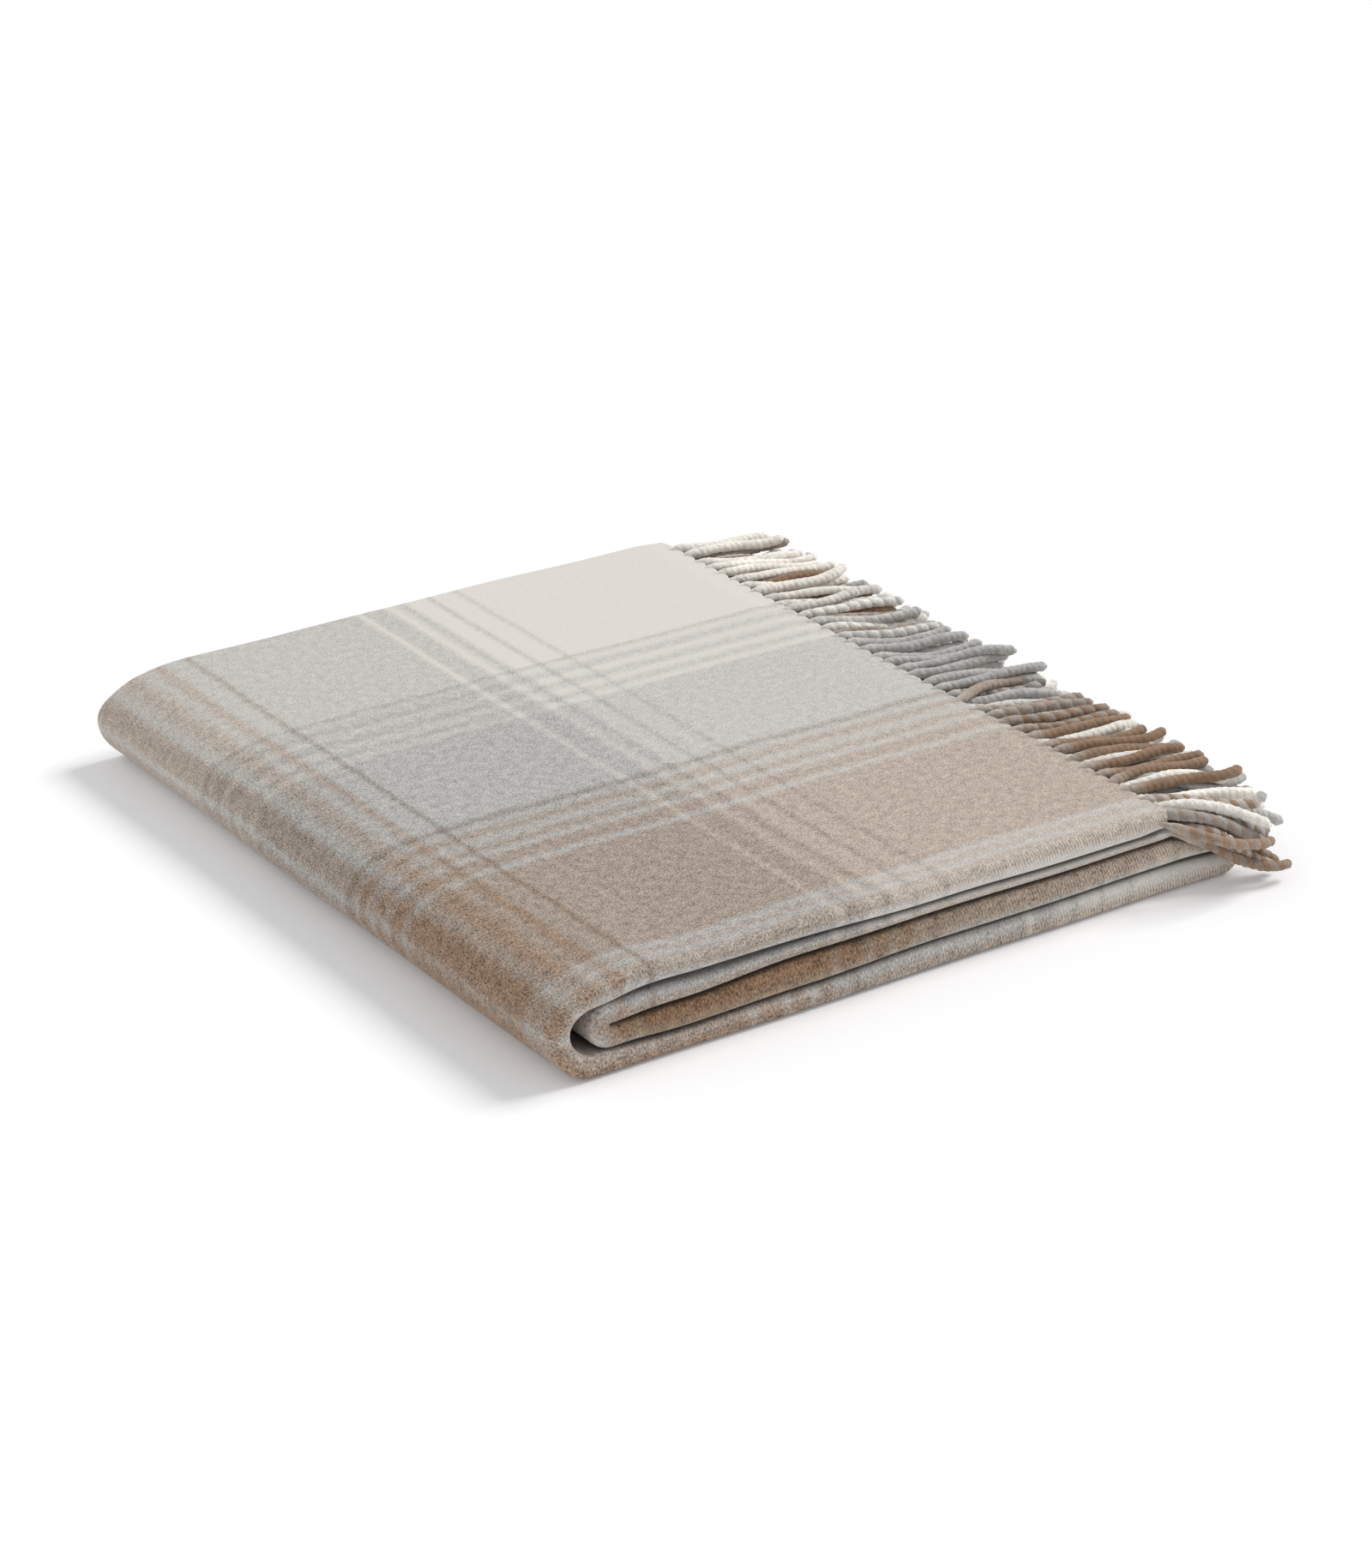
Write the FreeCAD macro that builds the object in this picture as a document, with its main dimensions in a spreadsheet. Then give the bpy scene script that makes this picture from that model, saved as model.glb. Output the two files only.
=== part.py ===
"""A woven wool throw, folded for a shelf: twelve leaves of cloth, their folds and their fringe.

The cloth is folded in thirds across its width, then in half and in half again along its length.
That makes four panels of three leaves each. Both fringed ends come to the right-hand side.
X runs from the two rounded left folds to the fringe, Y from the front edge to the back, Z is up.
The origin is the middle of the footprint, on the surface that the throw lies on.
"""

import FreeCAD
import Part

import math
import os

THIRDS = 3
PANEL_NAMES = ("bottom_panel", "lower_middle_panel", "upper_middle_panel", "top_panel")
LEAF_COUNT = THIRDS * len(PANEL_NAMES)

# Driving dimensions in millimetres.
SIZES = (
    ("cloth_width", 1400.0, "width of the flat cloth, folded in thirds"),
    ("root_reach", 376.0, "left fold to the roots of the fringe"),
    ("bottom_reach", 430.0, "left fold to the right fold of the two lower panels"),
    ("inner_setback", 18.0, "nose of the outer left fold to the nose of the inner left fold"),
    ("leaf_thickness", 3.8, "one leaf of cloth with its nap"),
    ("leaf_gap", 0.35, "air between two leaves"),
    ("turn_clearance", 0.3, "fold axis to the ends of the leaves that turn about it"),
    ("tassel_length", 80.0, "root to tip of a tassel"),
    ("tassel_diameter", 5.0, "one twisted tassel"),
    ("tassel_pitch", 11.6, "tassel to tassel along an edge"),
    ("tassel_margin", 4.0, "cloth edge to the nearest tassel"),
)

# Expressions shared by several pieces.
PITCH = "(sizes.leaf_thickness + sizes.leaf_gap)"
DEPTH = f"(sizes.cloth_width / {THIRDS})"
LEFT = "(-(sizes.root_reach + sizes.tassel_length) / 2)"
FRONT = f"(-{DEPTH} / 2)"
STACK_MIDDLE = f"(({LEAF_COUNT} * {PITCH} - sizes.leaf_gap) / 2)"
OUTER_FOLD_RADIUS = STACK_MIDDLE
INNER_FOLD_RADIUS = f"(({2 * THIRDS} * {PITCH} - sizes.leaf_gap) / 2)"
ROLL_RADIUS = f"(({THIRDS} * {PITCH} - sizes.leaf_gap) / 2)"
HEM_RADIUS = f"((2 * {PITCH} - sizes.leaf_gap) / 2)"
UPPER_HALF = f"({STACK_MIDDLE} - sizes.leaf_gap / 2)"
FLAT_START = f"({LEFT} + sizes.inner_setback + {INNER_FOLD_RADIUS})"
RIGHT_FOLD_START = f"({LEFT} + sizes.bottom_reach - {INNER_FOLD_RADIUS})"
FRINGE_ROWS = 2 * THIRDS
ROW_RISE = f"(({UPPER_HALF} - sizes.tassel_diameter) / {FRINGE_ROWS - 1})"

# Ways that a half ring can lie: the directions of its start, its sweep and its axis.
OPENS_RIGHT = ((0, 0, -1), (-1, 0, 0), (0, 1, 0))
OPENS_LEFT = ((0, 0, 1), (1, 0, 0), (0, 1, 0))
OPENS_BACK = ((0, 0, 1), (0, -1, 0), (1, 0, 0))
OPENS_FRONT = ((0, 0, -1), (0, 1, 0), (1, 0, 0))

doc = FreeCAD.newDocument("folded_throw")
subparts = []


def make_sheet():
    """Keeps the driving dimensions, each with its alias."""
    sheet = doc.addObject("Spreadsheet::Sheet", "sizes")
    for row, (alias, value, meaning) in enumerate(SIZES, start=1):
        sheet.set(f"A{row}", meaning)
        sheet.set(f"B{row}", str(value))
        sheet.setAlias(f"B{row}", alias)
    doc.recompute()
    return sheet


def bind(piece, **expressions):
    """Binds properties to expressions; position= holds the x, y and z of the placement."""
    for axis, expression in zip("xyz", expressions.pop("position", ())):
        piece.setExpression(f"Placement.Base.{axis}", expression)
    for name, expression in expressions.items():
        piece.setExpression(name, expression)


def turned(directions):
    """The rotation that lays a cylinder's start, sweep and axis along three directions."""
    return FreeCAD.Rotation(*(FreeCAD.Vector(*direction) for direction in directions), "ZXY")


def half_ring(label, way, position, outer, inner, length):
    """A leaf of cloth turned through half a circle, as a document object."""
    solids = []
    for name, radius in (("outside", outer), ("inside", inner)):
        cylinder = doc.addObject("Part::Cylinder", f"{label}_{name}")
        cylinder.Angle = 180
        cylinder.Placement = FreeCAD.Placement(FreeCAD.Vector(), turned(way))
        bind(cylinder, Radius=radius, Height=length, position=position)
        solids.append(cylinder)
    ring = doc.addObject("Part::Cut", label)
    ring.Base, ring.Tool = solids
    return ring


def slab(label, position, length, width):
    """A flat stretch of one leaf of cloth, as a document object."""
    box = doc.addObject("Part::Box", label)
    bind(box, Length=length, Width=width, Height="sizes.leaf_thickness", position=position)
    return box


def keep(piece, label):
    """Names a finished sub-part."""
    piece.Label = label
    subparts.append(piece)


def flat_end(panel):
    """Where the flat leaves of a panel end: at the right fold or at the fringe."""
    return RIGHT_FOLD_START if panel < 2 else f"({LEFT} + sizes.root_reach)"


def third_order(panel):
    """The thirds in a panel from the bottom up. Every fold along the length reverses them."""
    order = ("outer", "tucked", "inner")
    return order if panel in (0, 2) else order[::-1]


def make_leaves(panel):
    """The three flat leaves of one panel, between its front roll and its back fold."""
    front = f"({FRONT} + {ROLL_RADIUS})"
    back = f"(-{FRONT} - {HEM_RADIUS})"
    for step, third in enumerate(third_order(panel)):
        label = f"{PANEL_NAMES[panel]}_{third}_third"
        position = (FLAT_START, front, f"{THIRDS * panel + step} * {PITCH}")
        length = f"{flat_end(panel)} - {FLAT_START}"
        keep(slab(label, position, length, f"{back} - {front}"), label)


def make_edge_folds(panel):
    """The front roll wraps all three thirds; the back fold joins the inner and tucked thirds."""
    length = f"{flat_end(panel)} - {FLAT_START}"
    base = f"{THIRDS * panel} * {PITCH}"
    label = f"{PANEL_NAMES[panel]}_front_roll"
    centre = (FLAT_START, f"{FRONT} + {ROLL_RADIUS}", f"{base} + {ROLL_RADIUS}")
    inside = f"{ROLL_RADIUS} - sizes.leaf_thickness"
    keep(half_ring(label, OPENS_BACK, centre, ROLL_RADIUS, inside, length), label)

    lowest = 1 if third_order(panel)[0] == "outer" else 0
    label = f"{PANEL_NAMES[panel]}_back_fold"
    height = f"{base} + {lowest} * {PITCH} + {HEM_RADIUS}"
    centre = (FLAT_START, f"-{FRONT} - {HEM_RADIUS}", height)
    inside = f"{HEM_RADIUS} - sizes.leaf_thickness"
    keep(half_ring(label, OPENS_FRONT, centre, HEM_RADIUS, inside, length), label)


def make_tight_fold(name, way, centre, thirds):
    """The three leaves of a fold that lies close round its crease, from the outside in."""
    x, z = centre
    for step, third in enumerate(thirds):
        label = f"{name}_{third}_third"
        outside = f"{INNER_FOLD_RADIUS} - {step} * {PITCH}"
        inside = f"{outside} - sizes.leaf_thickness"
        keep(half_ring(label, way, (x, FRONT, z), outside, inside, DEPTH), label)


def make_left_outer_fold():
    """The three leaves that wrap round the inner fold, each with a short flat run above and below."""
    turn = f"({LEFT} + {OUTER_FOLD_RADIUS})"
    run = f"{FLAT_START} - {turn}"
    for step, third in enumerate(("outer", "tucked", "inner")):
        label = f"left_outer_fold_{third}_third"
        outside = f"{OUTER_FOLD_RADIUS} - {step} * {PITCH}"
        inside = f"{outside} - sizes.leaf_thickness"
        centre = (turn, FRONT, STACK_MIDDLE)
        bottom = f"{step} * {PITCH}"
        top = f"{LEAF_COUNT - 1 - step} * {PITCH}"
        fold = doc.addObject("Part::MultiFuse", label)
        fold.Shapes = [
            half_ring(f"{label}_turn", OPENS_RIGHT, centre, outside, inside, DEPTH),
            slab(f"{label}_lower_run", (turn, FRONT, bottom), run, DEPTH),
            slab(f"{label}_upper_run", (turn, FRONT, top), run, DEPTH),
        ]
        keep(fold, label)


def tassel_count(sheet):
    """How many tassels one edge carries, with room for the sideways shift of the rows."""
    edge = sheet.cloth_width / THIRDS
    room = edge - 2 * sheet.tassel_margin - sheet.tassel_diameter
    shift = sheet.tassel_pitch / 2
    return math.floor((room - shift) / sheet.tassel_pitch) + 1


def make_fringe(panel, count):
    """One row of tassels for each third. Every other row sits half a pitch along.

    The rows share out the height of the upper half evenly, from its lowest face to its top.
    """
    name = PANEL_NAMES[panel]
    lowest = f"({STACK_MIDDLE} + sizes.leaf_gap / 2 + sizes.tassel_diameter / 2)"
    for step, third in enumerate(third_order(panel)):
        row = THIRDS * (panel - 2) + step
        tassels = []
        for number in range(count):
            tassel = doc.addObject("Part::Cylinder", f"{name}_{third}_tassel")
            lying = FreeCAD.Rotation(FreeCAD.Vector(0, 1, 0), 90)
            tassel.Placement = FreeCAD.Placement(FreeCAD.Vector(), lying)
            across = f"({number} + {row % 2} / 2) * sizes.tassel_pitch"
            bind(
                tassel,
                Radius="sizes.tassel_diameter / 2",
                Height="sizes.tassel_length",
                position=(
                    flat_end(panel),
                    f"{FRONT} + sizes.tassel_margin + sizes.tassel_diameter / 2 + {across}",
                    f"{lowest} + {row} * {ROW_RISE}",
                ),
            )
            tassels.append(tassel)
        fringe = doc.addObject("Part::Compound", f"{name}_{third}_fringe")
        fringe.Links = tassels
        keep(fringe, f"{name}_{third}_fringe")


def check_document():
    """Stops the build if any object failed, or if a sub-part has no valid shape."""
    for piece in doc.Objects:
        if {"Invalid", "Error"} & set(piece.State):
            raise RuntimeError(f"{piece.Label} failed: {piece.State}")
    for piece in subparts:
        if piece.Shape.isNull() or not piece.Shape.isValid() or not piece.Shape.Solids:
            raise RuntimeError(f"{piece.Label} has no valid solid")


sheet = make_sheet()
for panel_number in range(len(PANEL_NAMES)):
    make_leaves(panel_number)
    make_edge_folds(panel_number)
make_left_outer_fold()
left_crease = (FLAT_START, STACK_MIDDLE)
make_tight_fold("left_inner_fold", OPENS_RIGHT, left_crease, ("inner", "tucked", "outer"))
right_crease = (RIGHT_FOLD_START, INNER_FOLD_RADIUS)
make_tight_fold("right_fold", OPENS_LEFT, right_crease, ("outer", "tucked", "inner"))
for panel_number in (2, 3):
    make_fringe(panel_number, tassel_count(sheet))
doc.recompute()
check_document()

os.makedirs("parts", exist_ok=True)
for piece in subparts:
    piece.Shape.exportStep(f"parts/{piece.Label}.step")

leaf_pitch = sheet.leaf_thickness + sheet.leaf_gap
middle = (LEAF_COUNT * leaf_pitch - sheet.leaf_gap) / 2
crease = subparts[0].Shape.BoundBox.XMin
whole = FreeCAD.BoundBox()
for piece in subparts:
    whole.add(piece.Shape.BoundBox)
print(len(subparts), "sub-parts in", whole)
print("unfolding axis along Y at x", crease - sheet.turn_clearance, "and z", middle)
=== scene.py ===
"""The looks of the folded woven throw: one continuous napped cloth and its twisted fringe.

The cloth is worked out as one sheet that follows the folds of the CAD model, then shared out
between the bodies. Lengths are metres. "Stack" positions are measured from the left nose of the
folds, the front edge and the floor.
"""

import bpy
import math
import numpy as np
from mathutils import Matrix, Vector


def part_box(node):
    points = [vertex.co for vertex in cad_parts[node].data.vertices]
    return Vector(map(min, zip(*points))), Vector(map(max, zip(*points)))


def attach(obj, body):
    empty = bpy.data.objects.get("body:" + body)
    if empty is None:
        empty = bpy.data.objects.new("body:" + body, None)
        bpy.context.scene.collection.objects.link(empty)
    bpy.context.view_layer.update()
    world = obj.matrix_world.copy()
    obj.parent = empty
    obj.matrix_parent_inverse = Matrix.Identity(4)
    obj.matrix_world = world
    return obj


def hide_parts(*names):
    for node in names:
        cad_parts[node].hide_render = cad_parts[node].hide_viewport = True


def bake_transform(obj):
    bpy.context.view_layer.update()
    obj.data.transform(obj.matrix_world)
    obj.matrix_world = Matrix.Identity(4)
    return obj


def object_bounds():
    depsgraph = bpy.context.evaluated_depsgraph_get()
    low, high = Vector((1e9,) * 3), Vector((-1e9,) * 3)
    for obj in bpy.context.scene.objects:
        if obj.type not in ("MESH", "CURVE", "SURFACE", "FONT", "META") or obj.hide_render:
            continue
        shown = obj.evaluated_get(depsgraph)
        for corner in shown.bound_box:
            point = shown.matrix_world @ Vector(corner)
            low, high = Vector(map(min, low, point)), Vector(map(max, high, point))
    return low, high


MM = 0.001

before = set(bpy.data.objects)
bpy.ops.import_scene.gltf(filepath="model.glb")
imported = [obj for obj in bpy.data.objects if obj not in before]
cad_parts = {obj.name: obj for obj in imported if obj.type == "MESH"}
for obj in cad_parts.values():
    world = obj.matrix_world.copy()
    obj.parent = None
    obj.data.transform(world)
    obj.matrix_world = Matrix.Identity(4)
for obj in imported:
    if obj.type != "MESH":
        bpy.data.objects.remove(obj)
cad_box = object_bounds()


def corners(node):
    """The lowest and highest corner of a CAD node, in the stack's own position."""
    low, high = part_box(node)
    return np.array(low) - ORIGIN, np.array(high) - ORIGIN


ORIGIN = np.array(cad_box[0])
TOP_LEAF_LOW, TOP_LEAF_HIGH = corners("top_panel_outer_third")
SECOND_LEAF_LOW, _ = corners("top_panel_tucked_third")
ROLL_LOW, ROLL_HIGH = corners("top_panel_front_roll")
RIGHT_FOLD_LOW, RIGHT_FOLD_HIGH = corners("right_fold_outer_third")
TASSELS_LOW, TASSELS_HIGH = corners("top_panel_outer_fringe")

HEIGHT = TOP_LEAF_HIGH[2]
MIDDLE = HEIGHT / 2
DEPTH = cad_box[1][1] - cad_box[0][1]
CLOTH_THICKNESS = TOP_LEAF_HIGH[2] - TOP_LEAF_LOW[2]
LEAF_PITCH = TOP_LEAF_LOW[2] - SECOND_LEAF_LOW[2]
LEAF_GAP = LEAF_PITCH - CLOTH_THICKNESS
BAND_HEIGHT = 3 * LEAF_PITCH
FLAT_START = TOP_LEAF_LOW[0]
ROOT = TOP_LEAF_HIGH[0]
RIGHT_FOLD_START = RIGHT_FOLD_LOW[0]
ROLL_CENTRE = (ROLL_HIGH[2] - ROLL_LOW[2]) / 2
TASSEL_LENGTH = TASSELS_HIGH[0] - TASSELS_LOW[0]
CLOTH_WIDTH = 3 * DEPTH
TASSEL_PITCH = 11.6 * MM
TASSEL_INSET = 6.5 * MM

OUTER_FOLD_RADIUS = MIDDLE - CLOTH_THICKNESS / 2 - LEAF_PITCH
TIGHT_FOLD_RADIUS = (BAND_HEIGHT - LEAF_GAP / 2) - CLOTH_THICKNESS / 2 - LEAF_PITCH
FOLD_RUN = FLAT_START - MIDDLE


# ---------------------------------------------------------------- small helpers


def smooth(value, start, end):
    """0 before start, 1 after end, and an S-curve between."""
    t = np.clip((value - start) / (end - start), 0, 1)
    return t * t * (3 - 2 * t)


def hump(value, centre, width):
    """A bell curve one high."""
    return np.exp(-(((value - centre) / width) ** 2))


def ripple(x, y, length, seed):
    """Gentle unevenness between about -1 and 1, with bumps of roughly that length."""
    random = np.random.default_rng(seed)
    total = np.zeros(np.broadcast(x, y).shape)
    for _ in range(7):
        turn = random.uniform(0, 2 * math.pi)
        rate = 2 * math.pi / (length * random.uniform(0.7, 1.6))
        phase = random.uniform(0, 2 * math.pi)
        total = total + np.sin(rate * (x * math.cos(turn) + y * math.sin(turn)) + phase)
    return total / 3.5


# ---------------------------------------------------------------- the folded cloth


def trace(start, heading, parts):
    """Follows runs and turns in a plane.

    Each part is (length, radius, steps); radius 0 is a straight run, and a positive radius
    turns anticlockwise. Gives the distances, positions, tangents and right-hand normals.
    """
    rows = []
    position = np.array(start, float)
    travelled = 0.0
    for length, radius, steps in parts:
        for step in range(steps):
            s = length * step / steps
            rows.append(_along(position, heading, radius, s, travelled))
        last = _along(position, heading, radius, length, travelled)
        position = np.array(last[1:3])
        travelled = last[0]
        heading = last[3]
    rows.append(last)
    table = np.array(rows)
    angle = table[:, 3]
    tangent = np.stack([np.cos(angle), np.sin(angle)], -1)
    normal = np.stack([np.sin(angle), -np.cos(angle)], -1)
    return table[:, 0], table[:, 1:3], tangent, normal


def _along(position, heading, radius, s, travelled):
    """One point of a run or turn: distance, two coordinates and heading."""
    if radius == 0:
        x = position[0] + s * math.cos(heading)
        y = position[1] + s * math.sin(heading)
        return travelled + s, x, y, heading
    turned = heading + s / radius
    x = position[0] + radius * (math.sin(turned) - math.sin(heading))
    y = position[1] - radius * (math.cos(turned) - math.cos(heading))
    return travelled + s, x, y, turned


TOP_LENGTH = ROOT - FLAT_START
LOWER_LENGTH = RIGHT_FOLD_START - FLAT_START
OUTER_FOLD_LENGTH = math.pi * OUTER_FOLD_RADIUS + 2 * FOLD_RUN
TIGHT_FOLD_LENGTH = math.pi * TIGHT_FOLD_RADIUS

HEM = 14 * MM

# Steps along the cloth: the top panel, the folds and the panels inside.
PATH_PARTS = (
    (HEM, 0, 10),
    (TOP_LENGTH - 0.060 - HEM, 0, 74),
    (0.060, 0, 20),
    (FOLD_RUN, 0, 3),
    (math.pi * OUTER_FOLD_RADIUS, OUTER_FOLD_RADIUS, 44),
    (FOLD_RUN, 0, 3),
    (LOWER_LENGTH, 0, 72),
    (TIGHT_FOLD_LENGTH, TIGHT_FOLD_RADIUS, 16),
    (LOWER_LENGTH, 0, 72),
    (TIGHT_FOLD_LENGTH, -TIGHT_FOLD_RADIUS, 16),
    (TOP_LENGTH - HEM, 0, 72),
    (HEM, 0, 8),
)
EDGE_INSET = 1.5 * MM
NEAR_FRONT = 0.100
ROLL_SQUARENESS = 3.4
BACK_FOLD_CENTRE = DEPTH - LEAF_PITCH + LEAF_GAP / 2
PROFILE_PARTS = (
    (DEPTH - EDGE_INSET - NEAR_FRONT, 0, 96),
    (NEAR_FRONT - ROLL_CENTRE, 0, 36),
    (math.pi * LEAF_PITCH, LEAF_PITCH, 14),
    (NEAR_FRONT - ROLL_CENTRE, 0, 26),
    (BACK_FOLD_CENTRE - NEAR_FRONT, 0, 32),
    (math.pi * LEAF_PITCH / 2, LEAF_PITCH / 2, 8),
    (BACK_FOLD_CENTRE - NEAR_FRONT, 0, 32),
    (NEAR_FRONT - ROLL_CENTRE - 0.3 * MM, 0, 26),
)

path_distance, path_point, _, path_normal = trace(
    (ROOT, HEIGHT - CLOTH_THICKNESS / 2 - LEAF_PITCH), math.pi, PATH_PARTS
)
CLOTH_LENGTH = path_distance[-1]


def cross_section():
    """The closed outline of the cloth cut across its length.

    Gives the middle line, the outward offset and the distance across the cloth of each point,
    and how many points lie on one face.
    """
    across, middle, tangent, normal = trace(
        (DEPTH - EDGE_INSET, LEAF_PITCH), math.pi, PROFILE_PARTS
    )
    half = CLOTH_THICKNESS / 2
    ends = []
    for index, sign in ((-1, 1), (0, -1)):
        for angle in (45, 90, 135):
            turn = math.radians(angle)
            offset = sign * (math.cos(turn) * normal[index] + math.sin(turn) * tangent[index])
            ends.append((across[index], middle[index], half * offset))
    distance = list(across) + [e[0] for e in ends[:3]] + list(across[::-1])
    distance = distance + [e[0] for e in ends[3:]]
    line = list(middle) + [e[1] for e in ends[:3]] + list(middle[::-1]) + [e[1] for e in ends[3:]]
    offsets = list(half * normal) + [e[2] for e in ends[:3]]
    offsets = offsets + list(-half * normal[::-1]) + [e[2] for e in ends[3:]]
    return np.array(line), np.array(offsets), np.array(distance), len(across)


def square_up(section):
    """Flattens the face of the front roll, as layers pressed together do."""
    forward = np.clip(ROLL_CENTRE - section[..., 0], 0, None)
    upward = section[..., 1]
    reach = np.maximum(np.hypot(forward, upward), 1e-9)
    blend = (forward / reach) ** ROLL_SQUARENESS + abs(upward / reach) ** ROLL_SQUARENESS
    grow = np.where(forward > 0, blend ** (-1 / ROLL_SQUARENESS), 1.0)
    y = np.where(forward > 0, ROLL_CENTRE - forward * grow, section[..., 0])
    return np.stack([y, np.where(forward > 0, upward * grow, upward)], -1)


# How each boundary between two bands rides up or down along the front edge, in millimetres.
FRONT_X = (35, 72, 150, 232, 300, 385, 430)
FIRST_BOUNDARY = (0, -1.1, 0.6, 2.4, 2.8, 3.4, 2.0)
SECOND_BOUNDARY = (0, 1.6, 4.4, 5.7, 5.8, 5.9, -1.5)
THIRD_BOUNDARY = (0, 1.5, 0.9, 0.0, -0.5, -1.2, -1.2)

# How far the front edge is drawn in, by distance along the cloth, in millimetres.
DRAW_ALONG = (0, 420, 600, 813, 1000, 1160, 1215, 1235, 1330, 1420, 1580)
DRAWN_IN = (0, 0, 0.8, 1.2, 0.2, 0.4, 1.2, 1.2, 1.4, 1.8, 2.0)
SECOND_BAND_REACH = 13 * MM
ROLLS_FADE = 95 * MM
RIGHT_FOLD_LEAN = 14 * MM
NOSE_AT = CLOTH_LENGTH - TOP_LENGTH - TIGHT_FOLD_LENGTH / 2


def soft_steps(value, places, amounts):
    """Smooth interpolation between given amounts; places and amounts are in millimetres."""
    result = np.full(np.shape(value), float(amounts[0]))
    for a, b, low, high in zip(places, places[1:], amounts, amounts[1:]):
        result = result + (high - low) * smooth(value, a * MM, b * MM)
    return result * MM


def near_front(y):
    """1 at the front edge, fading to 0 where the rolls end."""
    return 1 - smooth(y, 4 * MM, ROLLS_FADE)


def relax(x, y, z, along):
    """Lets the square-cut folds lie as soft cloth does. Layers keep their order."""
    x, y, z, along = (np.asarray(a, float) for a in np.broadcast_arrays(x, y, z, along))
    share = np.clip(y / DEPTH, 0, 1)
    front = near_front(y)
    back = smooth(y, DEPTH - ROLLS_FADE, DEPTH)
    level = z / HEIGHT

    # The left folds slump: lower at the back, with a slight hump where the front roll starts.
    slump = -(4.2 + 4.8 * share) * np.exp(-((x / 0.029) ** 2)) * MM
    slump = slump + 2.0 * MM * hump(x, 0.052, 0.020) * (1 - smooth(y, 0, 0.140))
    lift = (2.5 - 1.5 * share) * np.exp(-((x / 0.016) ** 2)) * MM
    fold_shape = slump * level**2 + 4 * lift * level * (1 - level)

    # The bands press into each other and open small gaps along the front.
    near = smooth(x, 0.026, 0.050)
    wave = ripple(x, y, 0.16, 3) * 0.5 * MM
    first = soft_steps(x, FRONT_X, FIRST_BOUNDARY) * front + wave
    second = soft_steps(x, FRONT_X, SECOND_BOUNDARY) * front
    second = second + ripple(x, y, 0.20, 5) * 0.7 * MM - 1.6 * MM * back
    third = soft_steps(x, FRONT_X, THIRD_BOUNDARY) * front
    third = third + ripple(x, y, 0.18, 8) * 0.5 * MM + 0.8 * MM * back
    top = ripple(x, y, 0.15, 11) * 0.45 * MM + 0.6 * MM * smooth(x, 0.08, 0.18) * share
    near_edge = 1 - smooth(y, 0, 0.05)
    slit = (2.4 * hump(x, 0.092, 0.050) + 1.7) * MM * near_edge
    by_right_fold = smooth(x, 0.365, 0.400) * (1 - smooth(y, 0.01, 0.12))
    hollow = (0.8 * by_right_fold + 1.6 * near_edge) * MM
    thin = 1.7 * MM * near_edge
    places = [0]
    moves = [np.zeros(x.shape)]
    for number, (boundary, gap) in enumerate(((first, hollow), (second, thin), (third, slit)), 1):
        level_here = number * BAND_HEIGHT - LEAF_GAP / 2
        places += [level_here - LEAF_GAP / 2, level_here + LEAF_GAP / 2]
        moves += [boundary - gap / 2, boundary + gap / 2]
    places.append(HEIGHT)
    moves.append(top)
    bands = np.zeros(x.shape)
    for low, high, a, b in zip(places, places[1:], moves, moves[1:]):
        share_here = (z - low) / (high - low)
        inside = (z >= low) & (z <= high)
        bands = np.where(inside, a + (b - a) * share_here, bands)
    bands = np.where(z > HEIGHT, top, bands)
    new_z = z + fold_shape + near * bands

    # Edges: the inner bands sit back a little at the front, and no edge is quite straight.
    drawn = soft_steps(along, DRAW_ALONG, DRAWN_IN) * (1 - smooth(y, 0, 0.085))
    edge_wave = ripple(x, z * 3, 0.12, 21) * 0.8 * MM
    new_y = y + drawn + edge_wave * (front + back)
    in_second = smooth(along, CLOTH_LENGTH - TOP_LENGTH + 0.1, CLOTH_LENGTH)
    backs = np.where(along > CLOTH_LENGTH - TOP_LENGTH, 2.4 * MM, 0.0)
    new_y = new_y - backs * back * in_second

    # The right fold leans in as it rises, and the second band runs on past the first.
    lean = RIGHT_FOLD_LEAN * smooth(z, 8 * MM, 24 * MM) * smooth(x, 0.375, 0.430)
    inner = smooth(along, NOSE_AT - 0.070, NOSE_AT) * (1 - smooth(along, NOSE_AT, NOSE_AT + 0.070))
    new_x = x - lean + SECOND_BAND_REACH * in_second
    new_x = new_x + 4.5 * MM * inner * (1 - smooth(y, 0.02, 0.16))
    scallop = np.cos(2 * math.pi * (y - TASSEL_INSET) / TASSEL_PITCH)
    at_edge = smooth(x, ROOT - 0.014, ROOT) * ((along < 0.02) | (along > CLOTH_LENGTH - 0.02))
    new_x = new_x + 0.9 * MM * scallop * at_edge
    outer_edge = 1 - smooth(x, 6 * MM, FLAT_START - 4 * MM)
    new_x = new_x + ripple(y, z * 4, 0.17, 31) * 0.8 * MM * outer_edge
    new_x = new_x + 0.4 * MM * hump(x, FLAT_START, 9 * MM)
    return new_x, new_y, new_z


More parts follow.
